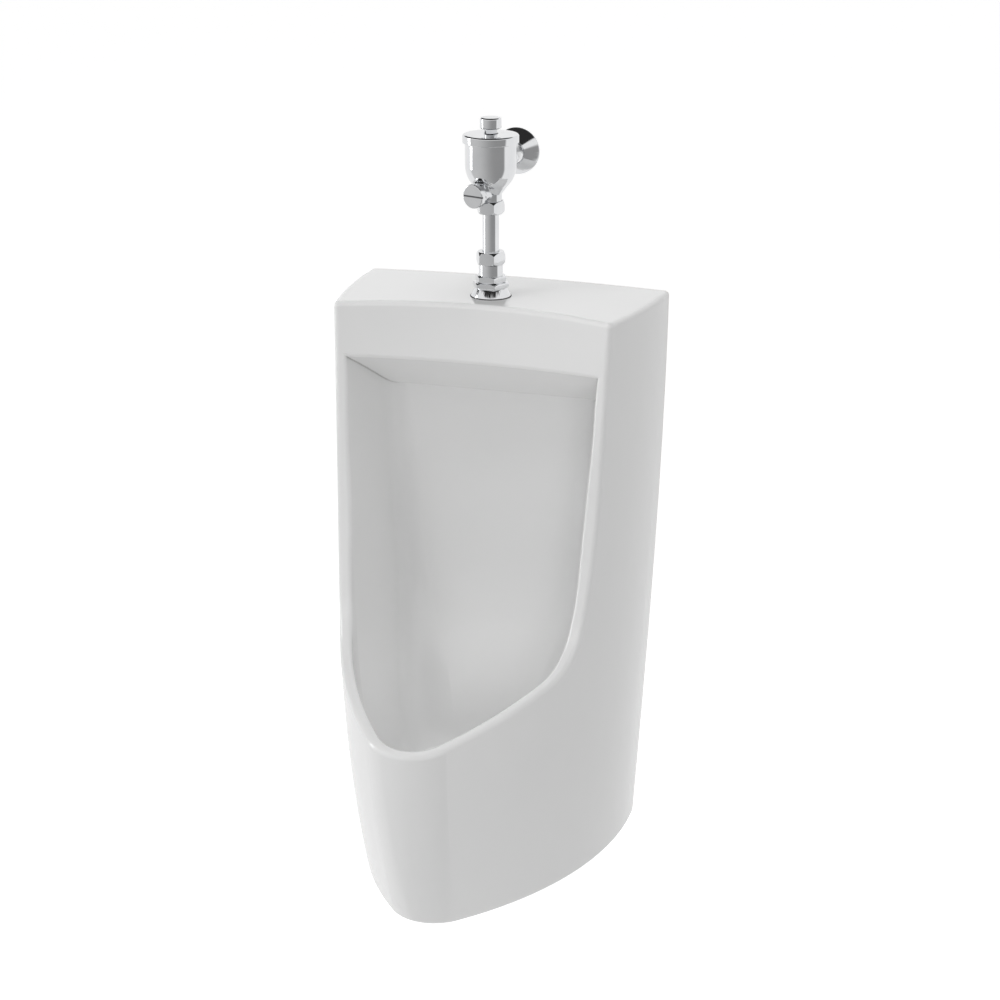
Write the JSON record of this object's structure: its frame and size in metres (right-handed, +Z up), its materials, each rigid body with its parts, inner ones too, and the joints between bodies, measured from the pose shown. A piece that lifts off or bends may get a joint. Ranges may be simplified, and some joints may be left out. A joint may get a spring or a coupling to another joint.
{
  "type": "urinal",
  "caption": "Wall-hung white ceramic urinal with an open shield-shaped bowl, a flat header deck and an exposed chrome flush valve with a push button and wall supply",
  "frame": {"origin": "On the wall plane and the mid-plane, in the middle of the flat back of the header, 540 mm above the bottom of the casting", "axes": "+X to the right seen from the front, +Y into the wall so that the bowl opens towards -Y, +Z up"},
  "size_m": [0.3298, 0.3837, 0.7829],
  "materials": {
    "white_glaze": "glossy white glaze over vitreous china",
    "chrome": "bright chrome plating over brass",
    "brass": "machined brass, unplated",
    "black_rubber": "matte moulded rubber",
    "white_plastic": "moulded white polypropylene",
    "zinc_steel": "zinc-plated pressed steel"
  },
  "bodies": {
    "urinal": {"urinal_body": "white_glaze", "hanger_brackets": "zinc_steel", "spud_body": "brass", "spud_gasket": "black_rubber", "spud_locknut": "brass", "spud_escutcheon": "chrome", "cover_nut": "chrome", "spud_adapter": "chrome", "flush_pipe": "chrome", "lower_union_nut": "chrome", "lower_seal": "black_rubber", "upper_union_nut": "chrome", "upper_seal": "black_rubber", "valve_body": "chrome", "seat_ring": "brass", "valve_cap": "chrome", "cap_gasket": "black_rubber", "button_oring": "black_rubber", "button_spring": "zinc_steel", "regulator_gland": "chrome", "regulator_oring": "black_rubber", "inlet_washer": "black_rubber", "inlet_nipple": "chrome", "inlet_union_nut": "chrome", "wall_flange": "chrome", "waste_gasket": "black_rubber", "waste_body": "chrome", "drain_strainer": "chrome", "strainer_screw": "chrome", "waste_washer": "black_rubber", "waste_backnut": "brass", "trap_body": "white_plastic", "trap_seal": "black_rubber", "trap_nut": "white_plastic", "trap_cup": "white_plastic", "trap_cup_seal": "black_rubber", "outlet_pipe": "white_plastic", "outlet_seal": "black_rubber", "outlet_nut": "white_plastic", "wall_collar": "black_rubber"},
    "button": {"push_button": "chrome", "pilot_seal": "black_rubber", "pilot_nut": "brass"},
    "piston_unit": {"piston": "brass", "piston_packing": "black_rubber", "seat_washer": "black_rubber", "washer_screw": "brass"},
    "regulator": {"regulator_spindle": "chrome"},
    "flow_plug": {"regulator_plug": "brass"}
  },
  "joints": [
    {"name": "button_press", "type": "slide", "parent": "urinal", "child": "button", "axis": [0, 0, -1], "range_m": [0, 0.005], "stiffness_N_per_m": 300, "springref_m": -0.004, "deforming": ["button_spring"]},
    {"name": "piston_lift", "type": "slide", "parent": "urinal", "child": "piston_unit", "axis": [0, 0, 1], "range_m": [0, 0.005]},
    {"name": "regulator_turn", "type": "hinge", "parent": "urinal", "child": "regulator", "pos_m": [0, -0.088, 0.1672], "axis": [0.309, 0.9511, 0], "range_deg": [0, 720]},
    {"name": "plug_advance", "type": "slide", "parent": "urinal", "child": "flow_plug", "axis": [0.309, 0.9511, 0], "range_m": [0, 0.004]}
  ],
  "couplings": [
    {"joint": "plug_advance", "follows": "regulator_turn", "m_per_rad": 0.00031831}
  ]
}
